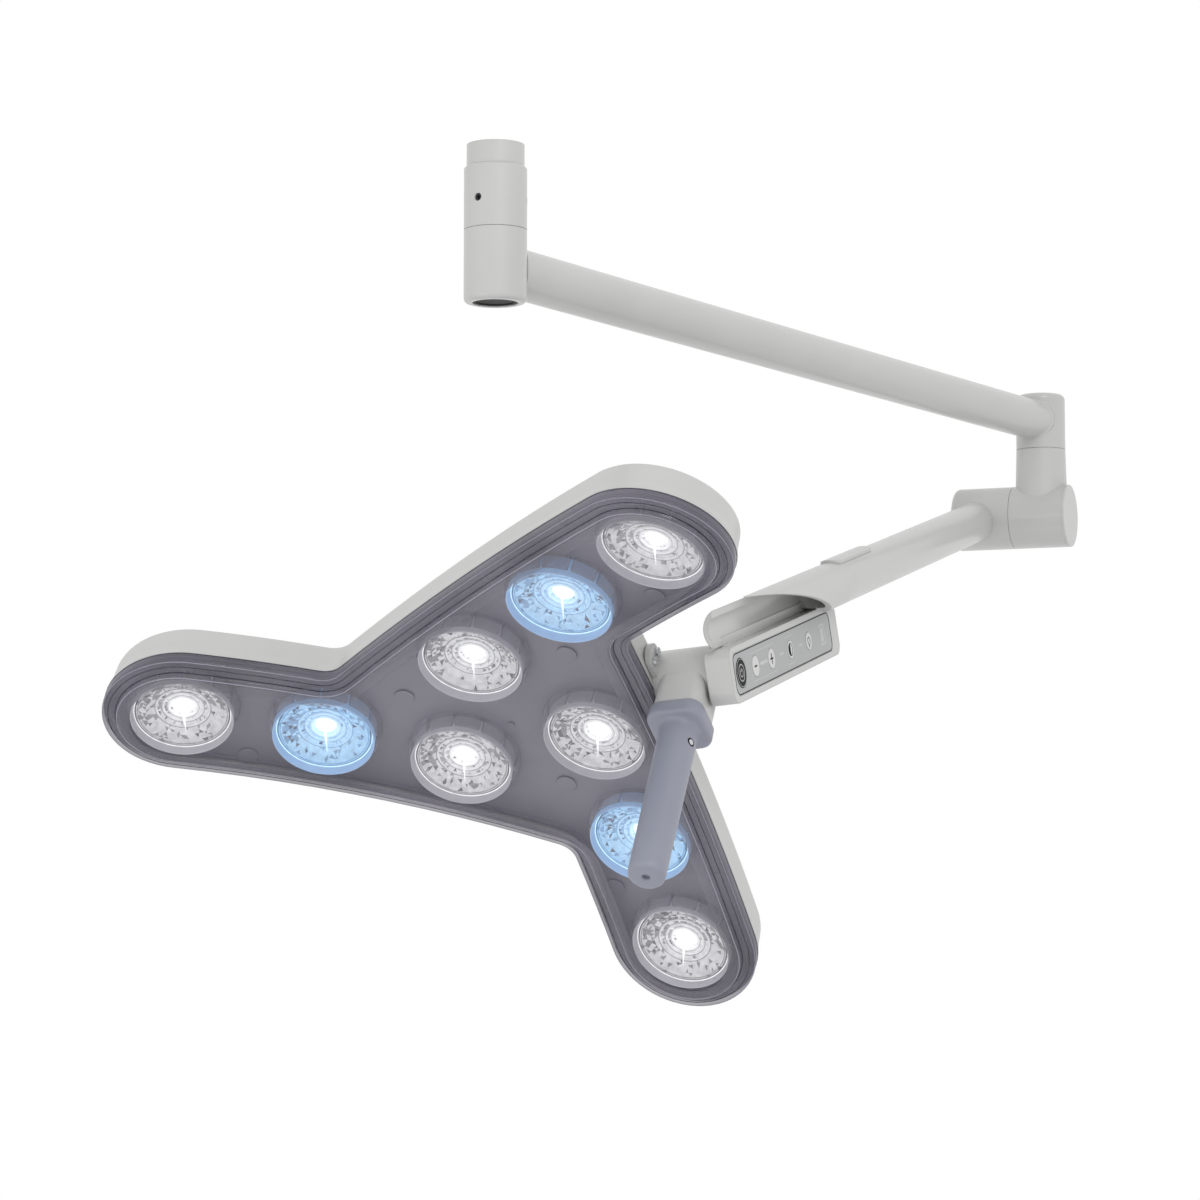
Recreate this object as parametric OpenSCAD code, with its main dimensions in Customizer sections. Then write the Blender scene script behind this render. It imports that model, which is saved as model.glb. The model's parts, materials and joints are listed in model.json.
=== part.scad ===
// Ceiling-mounted surgical light. A short ceiling tube carries an extension arm, a balanced
// arm with a control bar, and a three-armed head with nine lamp modules and a pull-off grip.
// Millimetres. The origin is the centre of the ceiling tube's upper end, +Z is up and +X runs
// along the extension arm. The balanced arm is folded back under the extension arm.

/* [Ceiling tube] */
// Outside diameter of the ceiling tube
drop_od = 48.3; // [47:0.1:49]
// Wall of the ceiling tube
drop_wall = 3.2; // [2.5:0.1:4]
// Height of the ceiling tube's upper end above the ceiling swivel seam
drop_height = 72; // [70:1:300]

/* [Arms] */
// Outside diameter of the upright joint housings
joint_od = 52.6; // [52:0.1:56]
// Outside diameter of the two arm tubes
arm_od = 42.4; // [41:0.1:43]
// Wall of the two arm tubes
arm_wall = 3; // [2:0.1:3]
// Distance from the ceiling swivel axis to the elbow axis
extension_length = 1056; // [700:1:1400]
// Diameter of the lift joint's barrel
barrel_od = 67; // [67:0.5:72]
// Distance from the lift axis to the head's tilt axis
spring_arm_length = 845.5; // [845:0.5:1000]
// Sideways offset of the balanced arm from the elbow axis
arm_offset = 67; // [66:0.5:69]

/* [Pose] */
// Turn of the balanced arm about the elbow
elbow_turn = 191.4; // [190:0.1:200]
// Drop of the balanced arm below the horizontal
arm_drop = 12.4; // [9:0.1:20]
// Tilt of the head about the control bar's hub
head_tilt = -52.5; // [-70:0.1:-40]
// Cant of the tilt axis out of the lift axis
hub_cant = 4.9; // [0:0.1:6]

/* [Head] */
// Sideways offset of each row of lamps from the head's centre
row_offset = 70.3; // [69:0.1:72]
// Distance of the inner lamps along their row
inner_lamp = 32.6; // [32:0.1:34]
// Spacing of the lamps along a row
lamp_pitch = 126; // [124:0.5:128]
// Half-width of each head arm
half_width = 69.5; // [66:0.1:72]
// Radius of the sphere that the lamp faces lie on
dish_radius = 1500; // [1400:10:1800]
// Level of the rear housing's back above the lamp faces
head_back = 41; // [39:0.5:46]
// Radius of each lamp's front face
lens_radius = 44; // [42:0.5:45]

/* [Grip] */
// Diameter of the grip at its foot
grip_od = 34; // [32:0.5:38]
// Distance from the tilt axis to the end of the grip
grip_reach = 230; // [200:1:260]

/* [Control bar] */
// Thickness of the control bar
bar_thick = 23; // [23:0.5:26]
// Height of the control bar
bar_height = 49; // [48:0.5:52]
// Length of the control bar from the tilt axis to its far end
bar_length = 284; // [280:1:300]

/* [Hidden] */
$fn = 72;

gap = 0.15;
fit = 0.04;
joint_r = joint_od / 2;
arm_r = arm_od / 2;
arm_bore = arm_r - arm_wall;
barrel_r = barrel_od / 2;
drop_r = drop_od / 2;
spindle_r = 15;
cable_r = 9;
arm_z = -drop_height - 31;
seam_z = -drop_height;
elbow_seam_z = arm_z - 31;
lift_z = arm_z - 103.4;
hub_near = -29;
hub_far = -93;
shaft_r = 8;
journal_r = 12;
shoulder_z = seam_z + 53.2;
spigot_r = drop_r - 0.8;
tube_end = 560;
hollow_start = 620;
hollow_r = 16.7;
opening_r = 909;
opening_top = arm_r + 1.8;
side_wall = 8.2;
yoke_tip = 880;
hub_drop = 43;
hub_side = -22;
hub_r = 26.3;
tilt_r = 10;
tilt_level = 23.7;
tilt_seam = 191.7;
grip_y = 166.3;
collar_top = tilt_level - 48.5;
collar_low = tilt_level - 64;
latch_level = collar_low - 19.5;
latch_turn = 72.5;
tip_x = inner_lamp + 2 * lamp_pitch;
bracket_y = row_offset + half_width + 0.1;
key_places = [6, -34, -80, -136, -192];
key_radii = [13, 9, 9, 8, 8];
lamp_count = 9;
board_y = 18.2;

white = [0.86, 0.86, 0.85];
steel = [0.66, 0.67, 0.69];
brass = [0.76, 0.62, 0.36];
dark = [0.25, 0.26, 0.28];

// ---- Frames of the moving assemblies ----

module in_knuckle() {
    translate([extension_length, 0, 0]) rotate([0, 0, elbow_turn]) children();
}

// +X runs along the balanced arm towards the head and +Y is the lift axis
module in_arm() {
    in_knuckle() translate([0, 0, lift_z]) rotate([0, arm_drop, 0]) children();
}

// The origin is on the tilt axis at its seam, and +Y is the tilt axis
module in_hub() {
    in_arm() translate([spring_arm_length, -arm_offset + hub_side, -hub_drop])
        rotate([hub_cant, 0, 0]) children();
}

// The origin is the head's centre on the lamp faces, and +Z points to the back of the head
module in_head() {
    in_hub() rotate([0, head_tilt, 0]) translate([0, -tilt_seam, -tilt_level]) children();
}

// ---- Shared shapes ----

module ring(outer, inner, low, high) {
    translate([0, 0, low]) difference() {
        cylinder(r = outer, h = high - low);
        translate([0, 0, -1]) cylinder(r = inner, h = high - low + 2);
    }
}

module along_y(from, to, r) {
    translate([0, from, 0]) rotate([-90, 0, 0]) cylinder(r = r, h = to - from);
}

module along_x(from, to, r) {
    translate([from, 0, 0]) rotate([0, 90, 0]) cylinder(r = r, h = to - from);
}

// An upright round body with rounded lower and upper edges
module soft_drum(r, low, high, low_edge, high_edge) {
    rotate_extrude() difference() {
        translate([0, low]) square([r, high - low]);
        if (low_edge > 0) drum_corner(r, low, low_edge, 1);
        if (high_edge > 0) drum_corner(r, high, high_edge, -1);
    }
}

module drum_corner(r, level, edge, side) {
    difference() {
        translate([r - edge, side > 0 ? level - 1 : level - edge])
            square([edge + 1, edge + 1]);
        translate([r - edge, level + side * edge]) circle(r = edge);
    }
}

module round_plate(x0, x1, z0, z1, corner) {
    union() {
        translate([x0 + corner, z0]) square([x1 - x0 - 2 * corner, z1 - z0]);
        translate([x0, z0 + corner]) square([x1 - x0, z1 - z0 - 2 * corner]);
        for (x = [x0 + corner, x1 - corner], z = [z0 + corner, z1 - corner])
            translate([x, z]) circle(r = corner);
    }
}

// A plate drawn in X and Z, standing between two Y levels
module slab_xz(from, to) {
    translate([0, to, 0]) rotate([90, 0, 0]) linear_extrude(to - from) children();
}

// ---- Ceiling swivel ----

module drop_tube() {
    color(white) difference() {
        union() {
            ring(drop_r, drop_r - drop_wall, shoulder_z, 0);
            ring(spigot_r, drop_r - drop_wall, seam_z + 14, shoulder_z + 1);
        }
        socket_screw_places() along_x(0, joint_r + 1, 3.05);
    }
}

module socket_screw_places() {
    for (a = [180, 300, 60]) rotate([0, 0, a]) translate([0, 0, seam_z + 24]) children();
}

module drop_socket() {
    color(white) difference() {
        union() {
            translate([0, 0, seam_z + gap]) cylinder(r = joint_r, h = 51.5);
            translate([0, 0, seam_z + gap + 51.5]) cylinder(r1 = joint_r, r2 = joint_r - 1.4, h = 1.5);
        }
        translate([0, 0, seam_z + 8]) cylinder(r = spigot_r + 0.05, h = 60);
        translate([0, 0, seam_z - 1]) cylinder(r = spindle_r + fit, h = 20);
        socket_screw_places() along_x(0, joint_r + 1, 3.3);
    }
}

module socket_screws() {
    color(dark) socket_screw_places() difference() {
        along_x(drop_r - drop_wall, joint_r - 1.6, 3);
        rotate([0, 90, 0]) translate([0, 0, joint_r - 3.6]) cylinder(r = 1.6, h = 4, $fn = 6);
    }
}

module ceiling_spindle() {
    color(steel) difference() {
        union() {
            translate([0, 0, seam_z + 8]) cylinder(r = spigot_r - 0.1, h = 6);
            translate([0, 0, arm_z - 26]) cylinder(r = spindle_r, h = 66);
        }
        translate([0, 0, arm_z - 30]) cylinder(r = cable_r, h = 80);
    }
}

module ceiling_nut() {
    color(steel) translate([0, 0, arm_z - 25.5]) difference() {
        cylinder(r = 18.4, h = 6.3, $fn = 6);
        translate([0, 0, -1]) cylinder(r = spindle_r + fit, h = 9);
    }
}

// ---- Extension arm ----

module swivel_housing() {
    color(white) difference() {
        soft_drum(joint_r, arm_z - 30, seam_z - gap, 4, 0);
        translate([0, 0, arm_z - 31]) cylinder(r = 17, h = 70);
        translate([0, 0, arm_z - 31]) cylinder(r = 19, h = 22);
        translate([0, 0, seam_z - 16]) cylinder(r = 19.5, h = 20);
        translate([0, 0, arm_z]) along_x(0, joint_r + 1, 8);
    }
}

module extension_tube() {
    color(white) translate([0, 0, arm_z]) difference() {
        along_x(0, extension_length, arm_r);
        along_x(-1, extension_length + 1, arm_bore);
        for (x = [0, extension_length])
            translate([x, 0, -40]) cylinder(r = joint_r, h = 80);
    }
}

module elbow_head() {
    color(white) translate([extension_length, 0, 0]) difference() {
        soft_drum(joint_r, elbow_seam_z + gap, arm_z + 29, 0, 6);
        translate([0, 0, elbow_seam_z - 1]) cylinder(r = spindle_r + 0.02, h = 50);
        translate([0, 0, arm_z]) along_x(-joint_r - 1, 0, 8);
    }
}

module ceiling_bushes() {
    color(brass) {
        ring(19.5, spindle_r + fit, seam_z - 16, seam_z - 2);
        ring(19, spindle_r + fit, arm_z - 19, arm_z - 9);
    }
}

module swivel_cap() {
    color(dark) difference() {
        translate([0, 0, arm_z - 29]) cylinder(r = 18.9, h = 2.6);
        translate([0, 0, arm_z - 30]) cylinder(r = 15.5, h = 1.6);
    }
}

module elbow_spindle() {
    color(steel) translate([extension_length, 0, 0]) difference() {
        translate([0, 0, elbow_seam_z - 43]) cylinder(r = spindle_r, h = 91);
        translate([0, 0, elbow_seam_z - 50]) cylinder(r = cable_r, h = 110);
        translate([0, 0, arm_z]) along_x(-20, 0, 7.5);
    }
}

module elbow_nut() {
    color(steel) translate([extension_length, 0, elbow_seam_z - 42.3]) difference() {
        cylinder(r = 18.4, h = 6, $fn = 6);
        translate([0, 0, -1]) cylinder(r = spindle_r + fit, h = 8);
    }
}

// ---- Knuckle between the elbow and the balanced arm ----

module knuckle() {
    color(white) in_knuckle() difference() {
        union() {
            translate([0, 0, lift_z]) cylinder(r1 = joint_r + 2, r2 = joint_r, h = elbow_seam_z - gap - lift_z);
            translate([0, 0, lift_z]) along_y(hub_near + gap, 29, barrel_r);
        }
        translate([0, 0, lift_z]) {
            difference() {
                along_y(hub_near + 4, 30, barrel_r - 4);
                along_y(hub_near, 5, 18);
            }
            along_y(hub_near - 1, 40, journal_r + fit);
        }
        translate([0, 0, elbow_seam_z - 45]) cylinder(r = 17, h = 60);
        translate([0, 0, elbow_seam_z - 14]) cylinder(r = 19.5, h = 20);
        translate([0, 0, elbow_seam_z - 46]) cylinder(r = 19, h = 20);
    }
}

module elbow_bushes() {
    color(brass) in_knuckle() {
        ring(19.5, spindle_r + fit, elbow_seam_z - 14, elbow_seam_z - 2);
        ring(19, spindle_r + fit, elbow_seam_z - 36, elbow_seam_z - 26);
    }
}

module knuckle_cap() {
    color(white) in_knuckle() translate([0, 0, lift_z]) {
        along_y(24, 29, barrel_r - 4.1);
        translate([0, 29, 0]) rotate([-90, 0, 0]) soft_drum(barrel_r, 0, 3, 0, 1);
    }
}

// The lift shaft stays with the knuckle and its side pin pulls the spring rod
module lift_shaft() {
    color(steel) in_arm() {
        along_y(-arm_offset - 3, -arm_offset + 10, shaft_r);
        along_y(hub_near - 28, 8, journal_r);
        along_y(hub_far + 7, -arm_offset - 3, journal_r);
        rotate([0, -arm_drop, 0]) translate([0, 0, 11])
            along_y(-arm_offset - 3.5, -arm_offset + 10.5, 2.5);
    }
}

// ---- Balanced arm ----

module lift_hub() {
    color(white) in_arm() difference() {
        rotate([90, 0, 0]) soft_drum(barrel_r, -hub_near + gap, -hub_far, 0, 5);
        along_y(hub_far + 6, hub_near + 1, journal_r + 3);
        along_y(-arm_offset - 6, -arm_offset + 11, 28);
        along_y(hub_near - 3, hub_near + 1, 26);
        translate([0, -arm_offset, 0]) along_x(0, 50, 13);
    }
}

module lift_bushes() {
    color(brass) in_arm() for (y = [hub_far + 7, -arm_offset + 12])
        difference() {
            along_y(y, y + 12, journal_r + 3);
            along_y(y - 1, y + 14, journal_r + fit);
        }
}

module brake_disc() {
    color(dark) in_arm() difference() {
        along_y(hub_near - 3, hub_near - gap, 25.8);
        along_y(hub_near - 4, hub_near + 1, journal_r + 0.4);
    }
}

module spring_arm_tube() {
    color(white) in_arm() difference() {
        translate([0, -arm_offset, 0]) along_x(0, tube_end, arm_r);
        translate([0, -arm_offset, 0]) along_x(-1, tube_end + 1, arm_bore);
        along_y(hub_far - 1, hub_near + 1, barrel_r);
        translate([470, -arm_offset - 6, 0]) cube([60, 12, 40]);
    }
}

module balance_spring() {
    coils = 22;
    color(steel) in_arm() translate([310, -arm_offset, 0]) rotate([0, 90, 0])
        for (i = [0:coils - 1])
            translate([0, 0, 2.3 + i * 9.4]) rotate_extrude() translate([11.5, 0]) circle(r = 2.2);
}

// The fork at the rod's end straddles the lift shaft and hooks over its side pin
module spring_rod() {
    color(steel) in_arm() translate([0, -arm_offset, 0]) {
        along_x(15.9, 543, 4);
        slab_xz(-2.5, 2.5) difference() {
            translate([-15.5, -4]) square([31.5, 22.5]);
            translate([-12.2, -5]) square([23.7, 20]);
        }
    }
}

module spring_stop() {
    color(steel) in_arm() translate([0, -arm_offset, 0]) difference() {
        along_x(302, 310, arm_bore - 0.1);
        along_x(301, 311, 4.3);
    }
}

module spring_adjuster() {
    color(brass) in_arm() translate([0, -arm_offset, 0]) difference() {
        union() {
            along_x(514, 520, 15.5);
            translate([520, 0, 0]) rotate([0, 90, 0]) cylinder(r = 13, h = 18, $fn = 6);
        }
        along_x(513, 540, 4.05);
    }
}

module adjuster_cover() {
    color(white) in_arm() translate([0, -arm_offset, 0]) {
        difference() {
            intersection() {
                along_x(456, 590, arm_r + 2.6);
                linear_extrude(40) round_plate(456, 573, -10, 10, 9.5);
            }
            along_x(450, 600, arm_r);
        }
    }
}

// ---- Yoke with the control bar ----

// The hollow under the end of the arm, open to the right and below
module scoop() {
    along_x(hollow_start, yoke_tip + 1, hollow_r);
    translate([hollow_start - 12, 0, 0]) rotate([0, 90, 0]) cylinder(r1 = 9, r2 = hollow_r, h = 12);
    slab_xz(side_wall - arm_r, arm_r + 1) intersection() {
        translate([yoke_tip, opening_top - opening_r]) circle(r = opening_r);
        translate([tube_end + 30, -arm_r - 1]) square([yoke_tip - tube_end, 2 * arm_r + 4]);
    }
}

// The side wall's outline, with its end rounded
module wall_outline() {
    round_plate(tube_end - 20, yoke_tip, -arm_r - 0.5, arm_r + 0.5, 10);
}

module yoke() {
    color(white) in_arm() difference() {
        union() {
            translate([0, -arm_offset, 0]) {
                along_x(tube_end - 28, tube_end + 5, arm_bore - 0.1);
                difference() {
                    intersection() {
                        along_x(tube_end, yoke_tip, arm_r);
                        slab_xz(-40, 40) wall_outline();
                    }
                    scoop();
                }
                slab_xz(hub_side + 0.5, side_wall - arm_r) translate([tube_end + 40, -30])
                    square([spring_arm_length - tube_end - 30, 21]);
            }
            at_hub() bar_body();
        }
        at_hub() bar_cavity();
        translate([0, -arm_offset, 0]) along_x(tube_end - 29, tube_end + 20, 14.2);
    }
}

// The hub frame seen from the balanced arm
module at_hub() {
    translate([spring_arm_length, -arm_offset + hub_side, -hub_drop]) rotate([hub_cant, 0, 0]) children();
}

module bar_body() {
    slab_xz(gap, bar_thick) round_plate(-bar_length, 32, -bar_height / 2, bar_height / 2, 11);
    along_y(gap, 14, hub_r);
}

module bar_cavity() {
    slab_xz(5, bar_thick - 1.6) translate([-258, -16]) square([230, 32]);
    slab_xz(board_y - 0.4, bar_thick - 1.6) translate([-258, -16]) square([278, 32]);
    slab_xz(bar_thick - 1.7, bar_thick + 1) round_plate(-262.2, 24.2, -18.7, 18.7, 8.2);
    along_y(-1, 12, 17);
    along_y(11, board_y, 20);
}

module tilt_bush() {
    color(brass) in_hub() difference() {
        along_y(gap + 0.4, 12, 17);
        along_y(-1, 13, tilt_r + fit);
    }
}

module control_board() {
    color([0.1, 0.35, 0.2]) in_hub() slab_xz(board_y, board_y + 1.5)
        translate([-256, -15]) square([273, 30]);
}

module keypad() {
    color([0.62, 0.63, 0.63]) in_hub() difference() {
        slab_xz(bar_thick - 1.6, bar_thick - 0.1) round_plate(-262, 24, -18.5, 18.5, 8);
        for (i = [0:4]) translate([key_places[i], 0, 0])
            along_y(bar_thick - 3, bar_thick + 1, key_radii[i] + 0.25);
        level_light_places() along_y(bar_thick - 3, bar_thick + 1, 1.3);
    }
}

module level_light_places() {
    for (i = [0:4]) translate([-49 - i * 4.2, 0, 0]) children();
}

module level_lights() {
    color([0.9, 0.95, 1]) in_hub() level_light_places() along_y(board_y + 1.5, bar_thick, 1.2);
}

module key(i) {
    color(i == 0 ? dark : [0.9, 0.9, 0.9]) in_hub() translate([key_places[i], 0, 0])
        along_y(bar_thick - 2.7, bar_thick + 0.3, key_radii[i]);
}

// ---- Head ----

// One arm's corner where its short edge meets the next arm's long edge
function corner_x(w) = (row_offset + w - 0.5 * (w - row_offset)) / cos(30);

module head_outline(w) {
    fillet = 90 - w;
    xc = corner_x(w);
    yc = w - row_offset;
    run = fillet / tan(60);
    centre = [xc + run, yc + fillet];
    circle(r = 90);
    for (a = [60, 180, 300]) rotate(a) {
        translate([-xc / 2, -row_offset - w]) square([xc / 2 + tip_x, 2 * w]);
        translate([tip_x, -row_offset]) circle(r = w);
        difference() {
            polygon([[xc - 4, yc - 4], [xc + run, yc - 4], [xc + run, yc], centre,
                     [xc - run / 2, yc + run * sin(60)], [xc - run / 2 - 4, yc]]);
            translate(centre) circle(r = fillet);
        }
    }
}

// Height of a dished level at a distance from the head's centre
function sag(r, level) = level + sqrt(dish_radius * dish_radius - r * r) - dish_radius;

// A round block whose front and back faces are dished
module dished_block(low, high) {
    rings = 7;
    sectors = 36;
    reach = 376;
    levels = [low, high];
    points = concat(
        [for (l = levels) [0, 0, sag(0, l)]],
        [for (l = levels, k = [1:rings], j = [0:sectors - 1])
            let (r = reach * k / rings, a = 360 * (j + 0.5) / sectors) [r * cos(a), r * sin(a), sag(r, l)]]);
    function at(l, k, j) = 2 + (l * rings + k - 1) * sectors + (j % sectors);
    faces = [for (j = [0:sectors - 1]) each concat(
        [[0, at(0, 1, j), at(0, 1, j + 1)], [1, at(1, 1, j + 1), at(1, 1, j)]],
        [for (k = [1:rings - 1]) [at(0, k, j), at(0, k + 1, j), at(0, k + 1, j + 1)]],
        [for (k = [1:rings - 1]) [at(0, k, j), at(0, k + 1, j + 1), at(0, k, j + 1)]],
        [for (k = [1:rings - 1]) [at(1, k, j), at(1, k + 1, j + 1), at(1, k + 1, j)]],
        [for (k = [1:rings - 1]) [at(1, k, j), at(1, k, j + 1), at(1, k + 1, j + 1)]],
        [[at(0, rings, j), at(1, rings, j), at(1, rings, j + 1)],
         [at(0, rings, j), at(1, rings, j + 1), at(0, rings, j + 1)]])];
    polyhedron(points, faces);
}

// A layer of the head between two dished levels, inside the outline of half-width w
module head_layer(w, low, high) {
    intersection() {
        translate([0, 0, -90]) linear_extrude(180) head_outline(w);
        dished_block(low, high);
    }
}

// Stands its children on the dish at a place in the head's plane
module on_dish(p) {
    spread = norm(p);
    turn = atan2(p[1], p[0]);
    translate([0, 0, -dish_radius]) rotate([0, 0, turn]) rotate([0, asin(spread / dish_radius), 0])
        translate([0, 0, dish_radius]) rotate([0, 0, -turn]) children();
}

function in_row(a, x, y) = [x * cos(a) - y * sin(a), x * sin(a) + y * cos(a)];

// Lamps 1 to 3 run outwards along one head arm, 4 to 6 along the next and so on
function lamp_place(i) = in_row(60 + 120 * floor((i - 1) / 3),
                                inner_lamp + lamp_pitch * ((i - 1) % 3), -row_offset);

module at_lamp(i) {
    on_dish(lamp_place(i)) children();
}

module rear_housing() {
    color(white) in_head() difference() {
        head_layer(half_width, 5.6, head_back);
        head_layer(half_width - 3, -2, head_back - 3);
        bracket_bolt_places() along_y(bracket_y - 8, bracket_y + 5, 2.8);
        screw_places() translate([0, 0, head_back - 5]) cylinder(r = 2.6, h = 8);
    }
}

module cover_seal() {
    color(dark) in_head() difference() {
        head_layer(half_width - 0.6, 4, 5.6);
        head_layer(half_width - 3.2, 3, 7);
    }
}

module front_cover() {
    color([0.75, 0.75, 0.88, 0.35]) in_head() difference() {
        union() {
            head_layer(half_width - 2.5, -8, -3.5);
            head_layer(half_width - 0.3, -3.5, 4);
        }
        head_layer(half_width - 6, -5, 5);
    }
}

module carrier_plate() {
    color([0.47, 0.47, 0.5]) in_head() difference() {
        head_layer(half_width - 3.2, 11, 13);
        for (i = [1:lamp_count]) at_lamp(i) cylinder(r = lens_radius + 1, h = 40, center = true);
    }
}

module cover_places() {
    for (a = [60, 180, 300]) for (p = [[inner_lamp + 1.5 * lamp_pitch, -row_offset - 54],
                                     [inner_lamp + 1.5 * lamp_pitch, -row_offset + 50],
                                     [inner_lamp + 0.5 * lamp_pitch, -row_offset + 54]])
        on_dish(in_row(a, p[0], p[1])) children();
}

module screw_covers() {
    color([0.5, 0.5, 0.53]) in_head() {
        cover_places() translate([0, 0, 9.2]) cylinder(r = 9, h = 1.2);
        on_dish([-17.6, -8]) translate([0, 0, 9.2]) cylinder(r = 2.6, h = 1.2);
    }
}

module screw_places() {
    for (a = [60, 180, 300], x = [inner_lamp, tip_x - 10]) on_dish(in_row(a, x, -row_offset)) children();
}

module housing_screws() {
    color(steel) in_head() screw_places() {
        translate([0, 0, head_back + 0.1]) cylinder(r = 4.5, h = 2.2);
        translate([0, 0, 34.2]) cylinder(r = 2.5, h = head_back - 34);
    }
    color(steel) in_head() bracket_bolt_places() {
        along_y(bracket_y - 8, bracket_y + 5.1, 2.5);
        along_y(bracket_y + 5.1, bracket_y + 8, 4);
    }
}

module bracket_bolt_places() {
    for (x = [-34, 34], z = [tilt_level - 9, tilt_level + 2]) translate([x, 0, z]) children();
}

// A clear optic: a stepped front face, a side wall and a hollow over the light source
module lens(i) {
    blue = i % 3 == 2;
    color(blue ? [0.55, 0.8, 1] : [0.95, 0.97, 1]) in_head() at_lamp(i) rotate_extrude() difference() {
        union() {
            translate([0, 1]) square([lens_radius, 11]);
            translate([0, 0]) square([lens_radius - 1.2, 2]);
            translate([0, -1.2]) square([15, 3]);
        }
        polygon([[0, 13], [0, 5], [9, 5], [lens_radius - 5, 13]]);
    }
}

module lamp_bezels() {
    petals = 12;
    color([0.72, 0.73, 0.76, 0.6]) in_head() for (i = [1:lamp_count]) at_lamp(i) difference() {
        ring(lens_radius + 5.5, lens_radius + 0.5, 3.5, 9.4);
        for (k = [0:petals - 1]) rotate([0, 0, k * 360 / petals])
            translate([lens_radius - 2, -0.6, 3]) cube([9, 1.2, 5.5]);
    }
}

module lamp_reflectors() {
    color([0.85, 0.86, 0.88]) in_head() for (i = [1:lamp_count]) at_lamp(i) rotate_extrude()
        polygon([[8, 25], [lens_radius - 3, 13.4], [lens_radius - 1, 13.4], [10, 27], [8, 27]]);
}

module lamp_boards() {
    color(steel) in_head() for (i = [1:lamp_count]) at_lamp(i) {
        translate([0, 0, 27]) cylinder(r = 20, h = 2);
        translate([0, 0, 23]) cylinder(r = 4, h = 4);
        for (x = [-16:4:16]) translate([x - 0.6, -12, 29]) cube([1.2, 24, 5]);
    }
}

module driver_board() {
    color([0.1, 0.35, 0.2]) in_head() {
        translate([-18, -16, 25]) cube([36, 32, 1.6]);
        translate([-10, -8, 26.6]) cube([20, 16, 7]);
    }
}

// The bracket bolts to the head's side, carries the tilt shaft and holds the grip
module head_bracket() {
    color(white) in_head() difference() {
        union() {
            translate([0, 0, tilt_level]) along_y(bracket_y, tilt_seam - gap, hub_r);
            slab_xz(bracket_y, bracket_y + 5) round_plate(-45, 45, tilt_level - 16, tilt_level + 8, 10);
            translate([0, grip_y, collar_top]) linear_extrude(tilt_level - 1.5 - collar_top)
                round_plate(-22, 22, -22, 22, 10);
        }
        translate([0, 0, tilt_level]) along_y(bracket_y + 8, tilt_seam + 1, tilt_r + 0.02);
        translate([0, grip_y, collar_top - 3]) cylinder(r = 8.02, h = 16);
        bracket_bolt_places() along_y(bracket_y - 1, bracket_y + 9, 2.6);
    }
}

module tilt_shaft() {
    color(steel) in_hub() along_y(bracket_y + 9 - tilt_seam, board_y - 0.6, tilt_r);
}

module tilt_nut() {
    color(steel) in_hub() difference() {
        translate([0, 12.2, 0]) rotate([-90, 0, 0]) cylinder(r = 16, h = 4.8, $fn = 6);
        along_y(12, 19, tilt_r + 0.02);
    }
}

module grip_spigot() {
    color(steel) in_head() translate([0, grip_y, 0]) {
        translate([0, 0, collar_low - 120]) cylinder(r = 8, h = collar_top + 132 - collar_low);
    }
}

// A pull-off grip with a square collar, a long slightly tapered handle and a dimpled end
module grip() {
    end_z = tilt_level - grip_reach;
    color([0.52, 0.55, 0.62]) in_head() translate([0, grip_y, 0]) difference() {
        union() {
            translate([0, 0, collar_low]) linear_extrude(collar_top - gap - collar_low)
                round_plate(-25, 25, -25, 25, 13);
            translate([0, 0, end_z + 5]) cylinder(r1 = grip_od / 2 - 0.8, r2 = grip_od / 2, h = collar_low - end_z);
            soft_drum(grip_od / 2 - 0.8, end_z, end_z + 6, 4, 0);
        }
        translate([0, 0, collar_low - 124]) cylinder(r = 8.06, h = 180);
        translate([0, 0, end_z - 2]) cylinder(r = 3, h = 4);
        translate([0, 0, latch_level]) rotate([0, 0, latch_turn]) along_x(12, 40, 3.2);
    }
}

module grip_latch() {
    color(steel) in_head() translate([0, grip_y, latch_level]) rotate([0, 0, latch_turn])
        along_x(14.2, 17.2, 2.6);
}

drop_tube();
drop_socket();
socket_screws();
ceiling_spindle();
ceiling_nut();
swivel_housing();
extension_tube();
elbow_head();
ceiling_bushes();
swivel_cap();
elbow_spindle();
elbow_nut();
knuckle();
elbow_bushes();
knuckle_cap();
lift_shaft();
lift_hub();
lift_bushes();
brake_disc();
spring_arm_tube();
balance_spring();
spring_rod();
spring_stop();
spring_adjuster();
adjuster_cover();
yoke();
tilt_bush();
control_board();
keypad();
level_lights();
head_bracket();
tilt_shaft();
tilt_nut();
grip_spigot();
rear_housing();
cover_seal();
front_cover();
carrier_plate();
screw_covers();
housing_screws();
lamp_bezels();
lamp_reflectors();
lamp_boards();
driver_board();
for (i = [1:lamp_count]) lens(i);
grip();
grip_latch();
key(0);  // power_key
key(1);  // minus_key
key(2);  // plus_key
key(3);  // mode_key
key(4);  // lamp_key
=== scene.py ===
import json
import math
import random

import bmesh
import bpy
from mathutils import Matrix, Vector
from mathutils.geometry import delaunay_2d_cdt


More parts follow.
